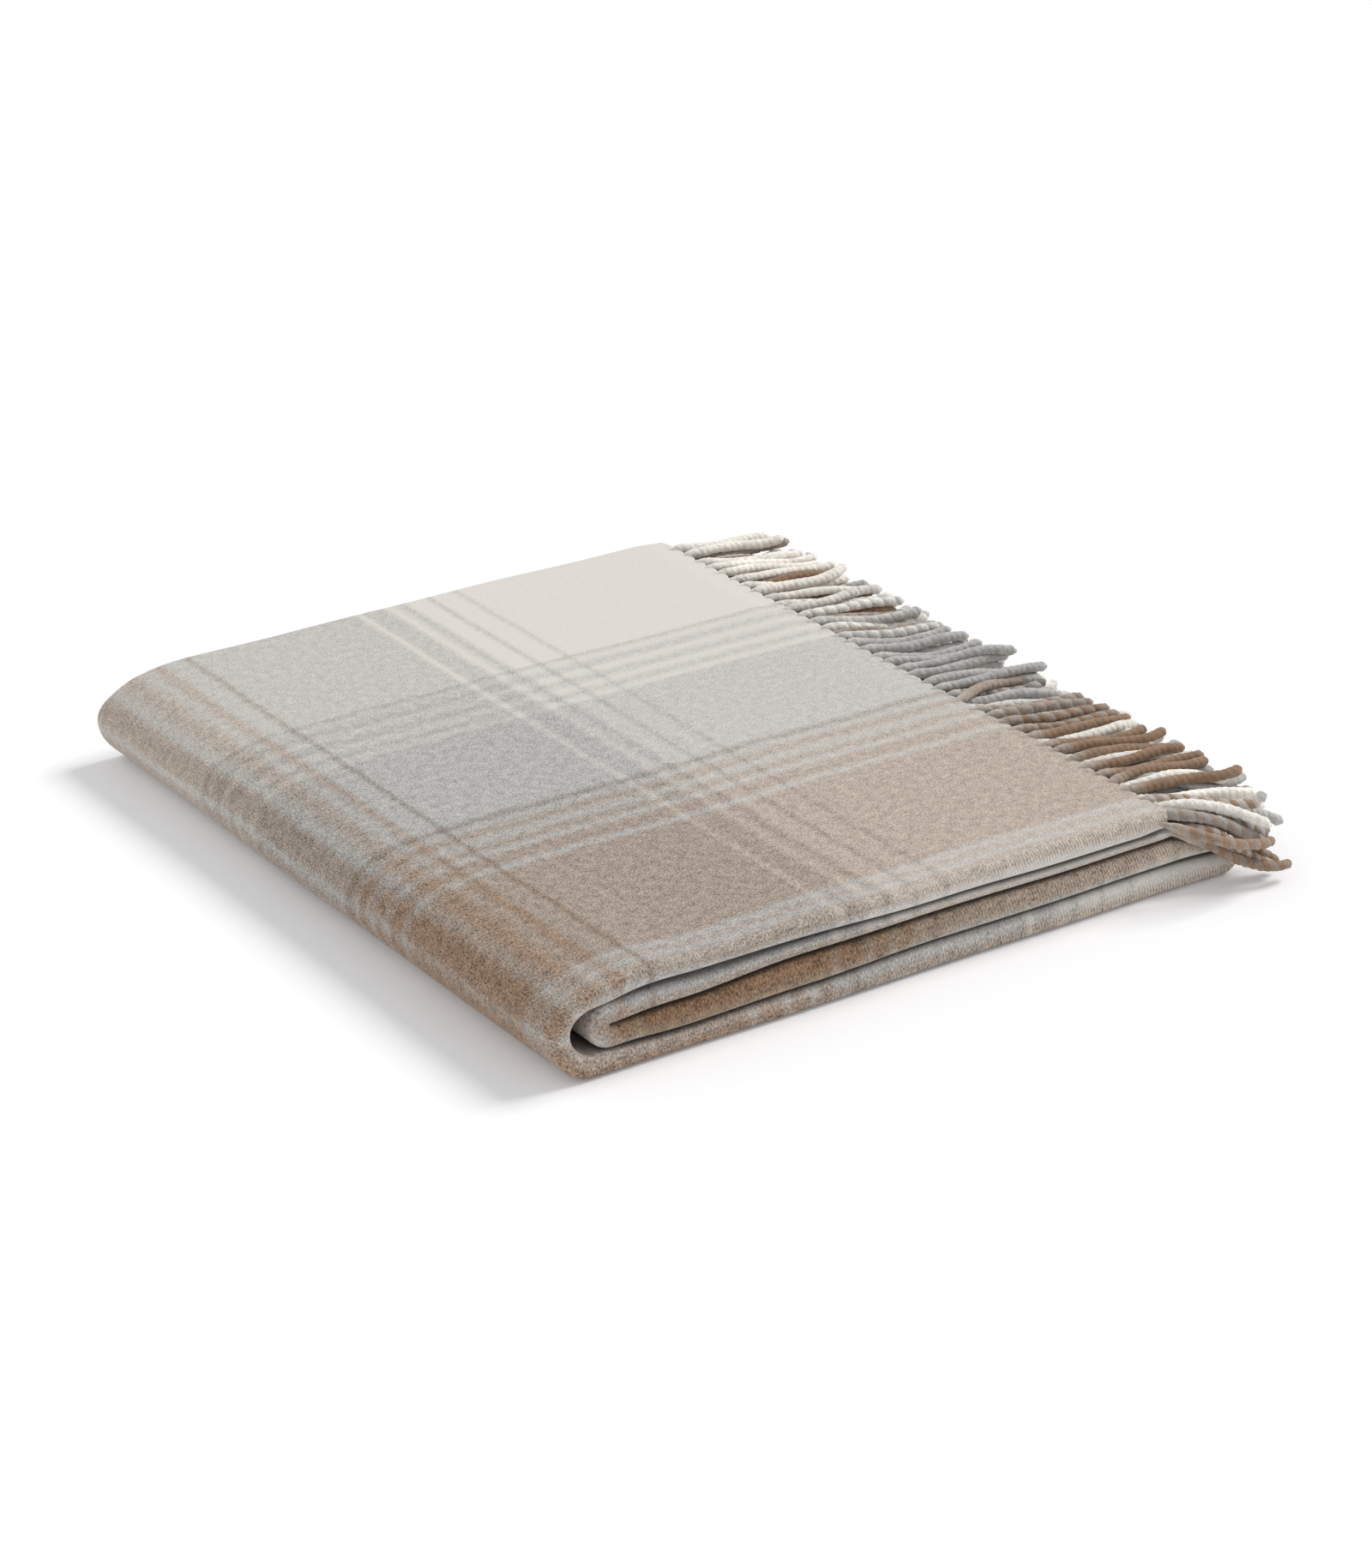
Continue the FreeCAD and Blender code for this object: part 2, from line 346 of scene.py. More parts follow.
def lay_cloth():
    """Every point of the cloth where it lies: points[along, around] in the row frame."""
    line, offsets, across, face_count = cross_section()
    half = CLOTH_THICKNESS / 2
    rings = []
    along = []
    for index, distance in enumerate(path_distance):
        from_end = min(distance, CLOTH_LENGTH - distance)
        thin = 0.42 + 0.58 * float(smooth(from_end, 0, 1.3 * HEM))
        rings.append((path_point[index], path_normal[index], thin, 0.0))
        along.append(distance)
    hem = [(0.42 * math.cos(math.radians(a)), math.sin(math.radians(a))) for a in (35, 65, 84)]
    for thin, out in hem:
        rings.insert(0, (path_point[0], path_normal[0], thin, out * half))
        along.insert(0, 0.0)
        rings.append((path_point[-1], path_normal[-1], thin, out * half))
        along.append(CLOTH_LENGTH)
    along = np.array(along)
    base = np.array([r[0] for r in rings])
    normal = np.array([r[1] for r in rings])
    thin = np.array([r[2] for r in rings])
    out = np.array([r[3] for r in rings])
    section = square_up(line[None] + offsets[None] * thin[:, None, None])
    x = base[:, :1] + normal[:, :1] * section[..., 1] + out[:, None]
    z = base[:, 1:] + normal[:, 1:] * section[..., 1]
    y = section[..., 0]
    x, y, z = relax(x, y, z, along[:, None])
    points = np.stack([x, y, z], -1) + ORIGIN
    return points, along, across, face_count, len(hem)


def surface_normals(points):
    """A smooth normal at every point of the laid cloth."""
    around = np.roll(points, -1, axis=1) - np.roll(points, 1, axis=1)
    lengthwise = np.gradient(points, axis=0)
    normals = np.cross(around, lengthwise)
    size = np.linalg.norm(normals, axis=-1, keepdims=True)
    return normals / np.maximum(size, 1e-12)


def new_mesh_object(name, vertices, faces):
    """A mesh object in the row frame."""
    mesh = bpy.data.meshes.new(name)
    mesh.from_pydata([tuple(v) for v in vertices], [], faces)
    mesh.validate()
    piece = bpy.data.objects.new(name, mesh)
    bpy.context.scene.collection.objects.link(piece)
    return piece


def cloth_piece(name, first, last):
    """One stretch of the cloth, from ring first to ring last, closed at both ends."""
    rings = points[first : last + 1]
    count, loop = rings.shape[:2]
    faces = []
    for i in range(count - 1):
        for j in range(loop):
            k = (j + 1) % loop
            faces.append((i * loop + j, i * loop + k, (i + 1) * loop + k, (i + 1) * loop + j))
    for ring, flip in ((0, True), (count - 1, False)):
        start = ring * loop
        inner = loop - 4
        for j in range(face_count - 1):
            quad = [start + j, start + j + 1, start + inner - j - 1, start + inner - j]
            faces.append(tuple(quad[::-1] if flip else quad))
        far = [start + j for j in range(face_count - 1, face_count + 4)]
        near = [start + j for j in range(inner, loop)] + [start]
        faces.append(tuple(far[::-1] if flip else far))
        faces.append(tuple(near[::-1] if flip else near))
    piece = new_mesh_object(name, rings.reshape(-1, 3), faces)
    mesh = piece.data
    layer = mesh.uv_layers.new(name="weave")
    index = np.empty(len(mesh.loops), int)
    mesh.loops.foreach_get("vertex_index", index)
    u = ring_distance[first + index // loop]
    v = across[index % loop]
    layer.data.foreach_set("uv", np.stack([u, v], -1).astype(np.float32).ravel())
    mesh.polygons.foreach_set("use_smooth", [True] * len(mesh.polygons))
    shade = normals[first : last + 1].reshape(-1, 3)
    mesh.normals_split_custom_set_from_vertices([tuple(n) for n in shade])
    return piece


points, ring_distance, across, face_count, hem_rings = lay_cloth()
normals = surface_normals(points)


def ring_at(distance):
    """The ring of the cloth at that distance along it."""
    return hem_rings + int(np.argmin(abs(path_distance - distance)))


FOLD_AT = TOP_LENGTH
BOTTOM_AT = FOLD_AT + OUTER_FOLD_LENGTH
THIRD_BAND_AT = BOTTOM_AT + LOWER_LENGTH + TIGHT_FOLD_LENGTH
INNER_FOLD_AT = BOTTOM_AT + 2 * LOWER_LENGTH + TIGHT_FOLD_LENGTH
SECOND_BAND_AT = INNER_FOLD_AT + TIGHT_FOLD_LENGTH

top_cloth = cloth_piece("top_panel_cloth", 0, ring_at(FOLD_AT))
outer_fold = cloth_piece("left_outer_fold_cloth", ring_at(FOLD_AT), ring_at(BOTTOM_AT))
lower_cloth = cloth_piece("lower_half_cloth", ring_at(BOTTOM_AT), ring_at(INNER_FOLD_AT))
inner_fold = cloth_piece(
    "left_inner_fold_cloth", ring_at(INNER_FOLD_AT), ring_at(SECOND_BAND_AT)
)
second_cloth = cloth_piece("upper_middle_panel_cloth", ring_at(SECOND_BAND_AT), len(points) - 1)


# ---------------------------------------------------------------- yarn colours and setts

CREAM = (0.755, 0.722, 0.662)
WHITE = (0.700, 0.690, 0.665)
GREY = (0.462, 0.455, 0.440)
WEFT_GREY = (0.440, 0.430, 0.408)
BROWN = (0.318, 0.207, 0.134)
TAN = (0.390, 0.290, 0.215)
DARK = (0.165, 0.108, 0.072)
PALE_LINE = (0.500, 0.485, 0.455)

# Where warp and weft cross, the cloth takes this share of the lighter yarn.
LIGHTER_SHARE = 0.40

# Stripes of the weft, in millimetres from either fringe. The pattern turns back at its end.
WEFT_SETT = (
    (0, 141, CREAM),
    (143, 145, PALE_LINE),
    (147.5, 160, CREAM),
    (161.5, 164.5, WEFT_GREY),
    (166.5, 176, CREAM),
    (178, 184, WEFT_GREY),
    (187, 192, CREAM),
    (195, 206, WEFT_GREY),
    (208, 211, CREAM),
    (213, 317, WEFT_GREY),
    (318.5, 321, DARK),
    (323.5, 333, WEFT_GREY),
    (336, 340, BROWN),
    (343, 348, WEFT_GREY),
    (351, 358, BROWN),
    (360, 364, WEFT_GREY),
    (367, 378, BROWN),
    (380, 383, WEFT_GREY),
    (386, 441.5, BROWN),
)
# Stripes of the warp, in millimetres from either long edge, up to the middle of the cloth.
WARP_SETT = (
    (0, 118, CREAM),
    (119.5, 121.5, GREY),
    (123, 130, CREAM),
    (133.5, 136.5, GREY),
    (140, 145, CREAM),
    (149, 154, GREY),
    (157, 161, CREAM),
    (164, 169, GREY),
    (172.5, 175.5, CREAM),
    (178, 272, GREY),
    (274, 276, DARK),
    (278, 284, GREY),
    (288, 291, BROWN),
    (294, 300, GREY),
    (304.5, 307.5, BROWN),
    (310.5, 314, GREY),
    (317, 325, BROWN),
    (329, 332, GREY),
    (334.5, 439, BROWN),
    (442, 445, GREY),
    (448, 451, TAN),
    (453.5, 457.5, GREY),
    (459.3, 466.6, TAN),
    (468, 476, WHITE),
    (481, 598, GREY),
    (604, 700, CREAM),
)
WEFT_TURN = WEFT_SETT[-1][1] * MM
NARROW = 7.2
ROLL_YARN_AT = 470 * MM
ROLL_YARN_REACH = 11 * MM


def sett_stops(sett):
    """Positions from 0 to 1 and colours: one stop in a narrow stripe, two in a wide one."""
    full = sett[-1][1]
    stops = []
    for start, end, colour in sett:
        if end - start < NARROW:
            stops.append(((start + end) / 2 / full, colour))
        else:
            stops.append((start / full, colour))
            stops.append((end / full, colour))
    return stops[1:-1]


def yarn_colour(distance, ply):
    """The colour of one ply of a tassel; at the front roll brown is twisted with grey.

    The photograph shows that mixture there. The setts alone would not give it.
    """
    colour = warp_colour(distance)
    at_roll = abs(distance - ROLL_YARN_AT) < ROLL_YARN_REACH
    rolled = np.array(BROWN) * (1.0 if ply else 0.62)
    rolled = rolled + (0.0 if ply else 0.30) * np.array(GREY)
    return np.where(at_roll[:, None], rolled, colour)


def warp_colour(distance):
    """The colour of the warp at a distance across the cloth, averaged over one ply."""
    places = np.array([p for p, _ in sett_stops(WARP_SETT)]) * WARP_SETT[-1][1] * MM
    colours = np.array([c for _, c in sett_stops(WARP_SETT)])
    nearby = distance[:, None] + np.linspace(-2.5, 2.5, 5)[None] * MM
    turned = CLOTH_WIDTH / 2 - abs(nearby - CLOTH_WIDTH / 2)
    channels = [np.interp(turned, places, colours[:, k]).mean(axis=1) for k in range(3)]
    return np.stack(channels, -1)


# ---------------------------------------------------------------- the fringe

TASSELS_PER_ROW = 39
TASSEL_RADIUS = 2.95 * MM
YARN_OFFSET = 2.9 * MM
NODES = 15
SPACING = TASSEL_LENGTH / (NODES - 1)
FRONT_LIMIT = -19 * MM
SETTLE_STEPS = 160
FALL_PER_STEP = 0.022 * MM
SPRING = 0.10
PUSH_SHARE = 0.25
PACKING = 0.93
NEIGHBOUR_REACH = 34 * MM
PAIR_SLACK = 3.5 * MM
PAIRS_EVERY = 6

# Tassels gather in locks: widths and the last place where one starts, in millimetres.
LOCK_WIDTHS = (24, 58)
LAST_LOCK = 470
STRAY_SHARE = 0.24
WIGGLE_SIDEWAYS = 0.95 * MM
WIGGLE_UP = 0.34 * MM
SHORTEST = 0.89
ROW_NAMES = (
    "upper_middle_panel_outer",
    "upper_middle_panel_tucked",
    "upper_middle_panel_inner",
    "top_panel_inner",
    "top_panel_tucked",
    "top_panel_outer",
)


def tassel_roots(random):
    """Where each tassel leaves the cloth, its distance across the cloth, and its row."""
    roots = []
    across_cloth = []
    rows = []
    s1_length = DEPTH - EDGE_INSET - ROLL_CENTRE
    s2_start = s1_length + math.pi * LEAF_PITCH
    s3_start = s2_start + BACK_FOLD_CENTRE - ROLL_CENTRE + math.pi * LEAF_PITCH / 2
    for row in range(len(ROW_NAMES)):
        third = ("outer", "tucked", "inner", "inner", "tucked", "outer")[row]
        height = (6 + row) * LEAF_PITCH + CLOTH_THICKNESS / 2
        along = CLOTH_LENGTH if row < 3 else 0.0
        for number in range(TASSELS_PER_ROW):
            y = TASSEL_INSET + (number + (row % 2) / 2) * TASSEL_PITCH
            if third == "tucked":
                y = 3.5 * MM if number == 0 else y + 0.6 * TASSEL_PITCH
            y = y + random.normal(0, 0.8) * MM
            if third == "outer":
                v = DEPTH - EDGE_INSET - y
            elif third == "inner":
                v = s2_start + y - ROLL_CENTRE
            else:
                v = s3_start + BACK_FOLD_CENTRE - y
            if third == "tucked" and number == 0:
                v = s1_length + math.pi * LEAF_PITCH / 2
            x, y, z = relax(ROOT - 6.0 * MM, y, height, along)
            roots.append((float(x), float(y), float(z)))
            across_cloth.append(v)
            rows.append(row)
    return np.array(roots), np.array(across_cloth), np.array(rows)


def support_height(x, y, rows):
    """The top of what lies under a tassel: the lower panels, the second band, or the floor."""
    inside = (y > -1 * MM) & (y < DEPTH + 1 * MM)
    lower_end = RIGHT_FOLD_HIGH[0] - RIGHT_FOLD_LEAN
    front = near_front(y)
    lower = 2 * BAND_HEIGHT + max(SECOND_BOUNDARY) * MM * front
    past = (x - lower_end) / RIGHT_FOLD_LEAN
    round_off = np.sqrt(np.clip(1 - past**2, 0, 1))
    lower = np.where(x < lower_end, lower, lower * round_off)
    height = np.where(inside & (x < lower_end + RIGHT_FOLD_LEAN), lower, 0)
    upper = (rows[:, None] >= 3) & inside & (x < ROOT + SECOND_BAND_REACH)
    return np.where(upper, np.maximum(height, 3 * BAND_HEIGHT), height)


def front_corner(roots):
    """One for tassels at the front corner, which splay out and droop, falling to zero."""
    return smooth(-roots[:, 1], -34 * MM, -6 * MM)


def bend_of(random, roots, rows):
    """The lasting curl of each tassel, as its second difference at every inner node."""
    count = len(roots)
    gather = np.zeros(count)
    for layer in (0, 1, 2):
        edge = -random.uniform(0, 30)
        while edge < LAST_LOCK:
            width = random.uniform(*LOCK_WIDTHS)
            here = (rows // 2 == layer) & (roots[:, 1] > edge * MM)
            here = here & (roots[:, 1] <= (edge + width) * MM)
            centre = edge * MM + width * MM * random.uniform(0.35, 0.75)
            gather[here] = centre - roots[here, 1]
            edge += width
    sideways = gather + random.normal(16.0, 14.0, count) * MM
    lifted = 15.0 * smooth(roots[:, 1], 0.34, 0.46) * (rows == 5)
    rising = (random.normal(2.0, 6.0, count) + lifted) * MM
    stray = random.random(count) < STRAY_SHARE
    sideways = sideways + stray * random.normal(0, 26, count) * MM
    rising = rising + stray * abs(random.normal(0, 12, count)) * MM
    s = np.linspace(0, 1, NODES)[1:-1]
    phase = random.uniform(0, 2 * math.pi, count)
    strength = random.uniform(0.3, 1.0, count)
    curve = 2 / (NODES - 1) ** 2
    bend = np.zeros((count, NODES - 2, 3))
    bend[..., 1] = sideways[:, None] * curve
    bend[..., 2] = rising[:, None] * curve
    wiggle = np.sin(2.3 * math.pi * s[None] + phase[:, None]) * strength[:, None]
    bend[..., 1] += wiggle * WIGGLE_SIDEWAYS
    bend[..., 2] += np.cos(2.0 * math.pi * s[None] + phase[:, None]) * WIGGLE_UP
    corner = front_corner(roots)
    bend[..., 1] -= (corner * 10 * MM * curve * random.uniform(0.0, 1.3, count))[:, None]
    bend[..., 2] -= (corner * 60 * MM * curve * random.uniform(0.5, 1.2, count))[:, None]
    return bend


def settle_tassels(random, roots, rows):
    """Lets the tassels fall, curl and pile up on each other. Gives their nodes."""
    count = len(roots)
    run = np.arange(NODES) * SPACING
    node = np.repeat(roots[:, None], NODES, axis=1)
    corner = front_corner(roots)
    yaw = random.normal(-0.17, 0.14, count) - corner * random.uniform(0.1, 0.5, count)
    pitch = -corner * random.uniform(0.15, 0.55, count)
    node[..., 0] += run * (np.cos(yaw) * np.cos(pitch))[:, None]
    node[..., 1] += run * (np.sin(yaw) * np.cos(pitch))[:, None]
    node[..., 2] += run * np.sin(pitch)[:, None]
    held = node[:, :2].copy()
    bend = bend_of(random, roots, rows)
    near = abs(roots[:, None, 1] - roots[None, :, 1]) < NEIGHBOUR_REACH
    first, second = np.nonzero(np.triu(near, 1))
    apart = 2 * TASSEL_RADIUS * PACKING
    for step in range(SETTLE_STEPS):
        node[:, 2:, 2] -= FALL_PER_STEP
        for _ in range(3):
            delta = node[:, 1:] - node[:, :-1]
            size = np.linalg.norm(delta, axis=-1, keepdims=True)
            fix = delta * (0.5 * (size - SPACING) / size)
            node[:, :-1] += fix
            node[:, 1:] -= fix
            error = node[:, :-2] - 2 * node[:, 1:-1] + node[:, 2:] - bend
            node[:, :-2] -= error * SPRING
            node[:, 1:-1] += error * 2 * SPRING
            node[:, 2:] -= error * SPRING
            node[:, :2] = held
        if step % PAIRS_EVERY == 0:
            gap = node[first][:, :, None] - node[second][:, None, :]
            close = np.einsum("pijk,pijk->pij", gap, gap) < (apart + PAIR_SLACK) ** 2
            pair, i, j = np.nonzero(close)
            pairs = (first[pair], i, second[pair], j)
        a, i, b, j = pairs
        gap = node[a, i] - node[b, j]
        size = np.linalg.norm(gap, axis=-1)
        push = np.clip(apart - size, 0, None) / np.maximum(size, 1e-9) * PUSH_SHARE
        shift = gap * push[:, None]
        np.add.at(node, (a, i), shift)
        np.add.at(node, (b, j), -shift)
        floor = support_height(node[..., 0], node[..., 1], rows) + TASSEL_RADIUS
        node[..., 2] = np.where(node[..., 2] < floor, floor, node[..., 2])
        node[..., 1] = np.clip(node[..., 1], FRONT_LIMIT, None)
        node[:, :2] = held
    return node


RINGS = 92
SIDES = 12
TWIST_LENGTH = 9.0 * MM
PLY_RADIUS = 2.68 * MM
PLY_OFFSET = 0.27 * MM


def resample(node, cut):
    """Smooth centre lines through the nodes, one point for each ring; cut trims each tassel."""
    t = cut[:, None] * np.linspace(0, NODES - 1, RINGS)
    k = np.clip(t.astype(int), 0, NODES - 2)
    f = (t - k)[..., None]

    def pick(index):
        return np.take_along_axis(node, np.clip(index, 0, NODES - 1)[..., None], axis=1)

    p1 = pick(k)
    p2 = pick(k + 1)
    p0 = np.where((k > 0)[..., None], pick(k - 1), 2 * p1 - p2)
    p3 = np.where((k < NODES - 2)[..., None], pick(k + 2), 2 * p2 - p1)
    a = 2 * p1 + (p2 - p0) * f
    b = (2 * p0 - 5 * p1 + 4 * p2 - p3) * f**2
    c = (3 * p1 - p0 - 3 * p2 + p3) * f**3
    return 0.5 * (a + b + c)


def tassel_mesh(name, lines, ply_colours, random):
    """One row of two-ply twisted tassels as one mesh, with a colour on every point."""
    count = len(lines)
    tangent = np.gradient(lines, axis=1)
    tangent /= np.linalg.norm(tangent, axis=-1, keepdims=True)
    side = np.zeros((count, RINGS, 3))
    current = np.tile(np.array((0.0, 1.0, 0.0)), (count, 1))
    for ring in range(RINGS):
        t = tangent[:, ring]
        current = current - (current * t).sum(-1, keepdims=True) * t
        current /= np.linalg.norm(current, axis=-1, keepdims=True)
        side[:, ring] = current
    up = np.cross(tangent, side)
    s = np.linspace(0, 1, RINGS)
    size = random.normal(1.0, 0.05, count)[:, None]
    grow = 0.30 + 0.70 * smooth(s, 0.0, 0.17)
    tip = 0.36 + 0.64 * (1 - smooth(s, 0.955, 1.0) ** 2)
    swell = 1 + 0.04 * np.sin(s[None] * 23 + random.uniform(0, 6, count)[:, None])
    radius = size * (grow * tip)[None] * swell
    turns = TASSEL_LENGTH / TWIST_LENGTH * random.normal(1, 0.06, count)[:, None]
    twist = 2 * math.pi * turns * s[None] + random.uniform(0, 6.28, count)[:, None]
    angle = np.linspace(0, 2 * math.pi, SIDES, endpoint=False) + math.pi / SIDES
    lobes = PLY_OFFSET * abs(np.cos(angle))
    lobes = lobes + np.sqrt(PLY_RADIUS**2 - (PLY_OFFSET * np.sin(angle)) ** 2)
    turn = angle[None, None] + twist[..., None]
    reach = lobes[None, None] * radius[..., None]
    around = np.cos(turn)[..., None] * side[:, :, None] + np.sin(turn)[..., None] * up[:, :, None]
    reach = reach * random.normal(1, 0.030, reach.shape)
    vertices = lines[:, :, None] + around * reach[..., None]
    faces = []
    for tassel in range(count):
        base = tassel * RINGS * SIDES
        for ring in range(RINGS - 1):
            row = base + ring * SIDES
            for j in range(SIDES):
                k = (j + 1) % SIDES
                faces.append((row + j, row + k, row + SIDES + k, row + SIDES + j))
        faces.append(tuple(base + j for j in reversed(range(SIDES))))
        faces.append(tuple(base + (RINGS - 1) * SIDES + j for j in range(SIDES)))
    piece = new_mesh_object(name, vertices.reshape(-1, 3) + ORIGIN, faces)
    mesh = piece.data
    mesh.polygons.foreach_set("use_smooth", [True] * len(mesh.polygons))
    first_ply = np.cos(angle) > 0
    colour = np.where(first_ply[None, :, None], ply_colours[0][:, None], ply_colours[1][:, None])
    weft = WEFT_SETT[0][2]
    cloth = (1 - LIGHTER_SHARE) * np.minimum(colour, weft)
    cloth = cloth + LIGHTER_SHARE * np.maximum(colour, weft)
    from_cloth = smooth(s, 0.10, 0.30)[None, :, None, None]
    colour = cloth[:, None] * (1 - from_cloth) + colour[:, None] * from_cloth
    colour = np.concatenate([colour, np.ones(colour.shape[:3] + (1,))], -1)
    layer = mesh.color_attributes.new("yarn", "FLOAT_COLOR", "POINT")
    layer.data.foreach_set("color", colour.astype(np.float32).ravel())
    distance = np.repeat((s * TASSEL_LENGTH)[None], count, axis=0)
    run = np.broadcast_to(distance[..., None], (count, RINGS, SIDES))
    girth = np.broadcast_to(angle * TASSEL_RADIUS, (count, RINGS, SIDES))
    place = np.stack([run, girth], -1).reshape(-1, 2)
    index = np.empty(len(mesh.loops), int)
    mesh.loops.foreach_get("vertex_index", index)
    uv = mesh.uv_layers.new(name="yarn_run")
    uv.data.foreach_set("uv", place[index].astype(np.float32).ravel())
    return piece


random = np.random.default_rng(20)
roots, across_cloth, rows = tassel_roots(random)
nodes = settle_tassels(random, roots, rows)
lines = resample(nodes, random.uniform(SHORTEST, 1.0, len(rows)))
tassel_rows = []
for row, name in enumerate(ROW_NAMES):
    chosen = rows == row
    shade = random.normal(1.10, 0.07, chosen.sum())[:, None]
    plies = []
    for ply, offset in enumerate((-YARN_OFFSET, YARN_OFFSET)):
        dyed = yarn_colour(across_cloth[chosen] + offset, ply)
        contrast = 0.78 + 0.54 * dyed.mean(axis=1, keepdims=True)
        plies.append(dyed * contrast * shade)
    tassel_rows.append(tassel_mesh(f"{name}_tassels", lines[chosen], plies, random))


# ---------------------------------------------------------------- materials


class Tree:
    """Builds a node material with short calls."""

    def __init__(self, name):
        self.material = bpy.data.materials.new(name)
        self.material.use_nodes = True
        self.nodes = self.material.node_tree.nodes
        self.links = self.material.node_tree.links
        self.nodes.clear()

    def add(self, kind, *inputs, **settings):
        """A node; inputs are sockets to link or plain values, in order, and None skips one."""
        node = self.nodes.new(kind)
        for key, value in settings.items():
            setattr(node, key, value)
        for socket, value in zip(node.inputs, inputs):
            self.feed(socket, value)
        return node

    def feed(self, socket, value):
        """Links a socket or sets its value."""
        if value is None:
            return
        if isinstance(value, bpy.types.NodeSocket):
            self.links.new(value, socket)
        else:
            socket.default_value = value

    def math(self, operation, *inputs):
        """A math node's result."""
        return self.add("ShaderNodeMath", *inputs, operation=operation).outputs[0]

    def vector(self, operation, *inputs):
        """A vector math node's result."""
        return self.add("ShaderNodeVectorMath", *inputs, operation=operation).outputs[0]

    def noise(self, vector, scale, detail=2.0, roughness=0.5, stretch=(1, 1, 1)):
        """A noise texture over a stretched vector."""
        scaled = self.vector("MULTIPLY", vector, stretch)
        node = self.add("ShaderNodeTexNoise")
        self.feed(node.inputs["Vector"], scaled)
        node.inputs["Scale"].default_value = scale
        node.inputs["Detail"].default_value = detail
        node.inputs["Roughness"].default_value = roughness
        return node

    def ramp(self, factor, stops):
        """A colour ramp with those stops."""
        node = self.add("ShaderNodeValToRGB", factor)
        elements = node.color_ramp.elements
        while len(elements) < len(stops):
            elements.new(1.0)
        for element, (place, colour) in zip(elements, stops):
            element.position = place
            element.color = (*colour, 1.0)
        return node.outputs[0]

    def map(self, value, low, high, to_low=0.0, to_high=1.0):
        """A clamped range change."""
        node = self.add("ShaderNodeMapRange", value, low, high, to_low, to_high)
        return node.outputs[0]

    def blend(self, factor, a, b, mode="MIX"):
        """Two colours mixed."""
        node = self.nodes.new("ShaderNodeMix")
        node.data_type = "RGBA"
        node.blend_type = mode
        for socket, value in ((node.inputs[0], factor), (node.inputs[6], a), (node.inputs[7], b)):
            self.feed(socket, value)
        return node.outputs[2]

    def wool(self, colour, height, distance, strength):
        """A soft woollen surface of that colour, with its bump."""
        shader = self.nodes.new("ShaderNodeBsdfPrincipled")
        self.feed(shader.inputs["Base Color"], colour)
        shader.inputs["Roughness"].default_value = 0.92
        shader.inputs["Specular IOR Level"].default_value = 0.18
        shader.inputs["Sheen Weight"].default_value = 0.22
        shader.inputs["Sheen Roughness"].default_value = 0.55
        shader.inputs["Sheen Tint"].default_value = (1.0, 0.97, 0.93, 1.0)
        bump = self.nodes.new("ShaderNodeBump")
        bump.inputs["Strength"].default_value = strength
        bump.inputs["Distance"].default_value = distance
        self.feed(bump.inputs["Height"], height)
        self.links.new(bump.outputs[0], shader.inputs["Normal"])
        output = self.nodes.new("ShaderNodeOutputMaterial")
        self.links.new(shader.outputs[0], output.inputs[0])
        return self.material


TWILL_PITCH = 1.9 * MM
# The tint of the third band's roll face: partly a browner hue, partly painted shade.
BROWN_TINT_AND_PAINTED_SHADE = (0.72, 0.62, 0.50, 1.0)
# The reach and colour of the painted shade that darkens the gaps between layers.
CAVITY_REACH = 9 * MM
PAINTED_GAP_SHADE_COLOUR = (0.020, 0.016, 0.012, 1.0)


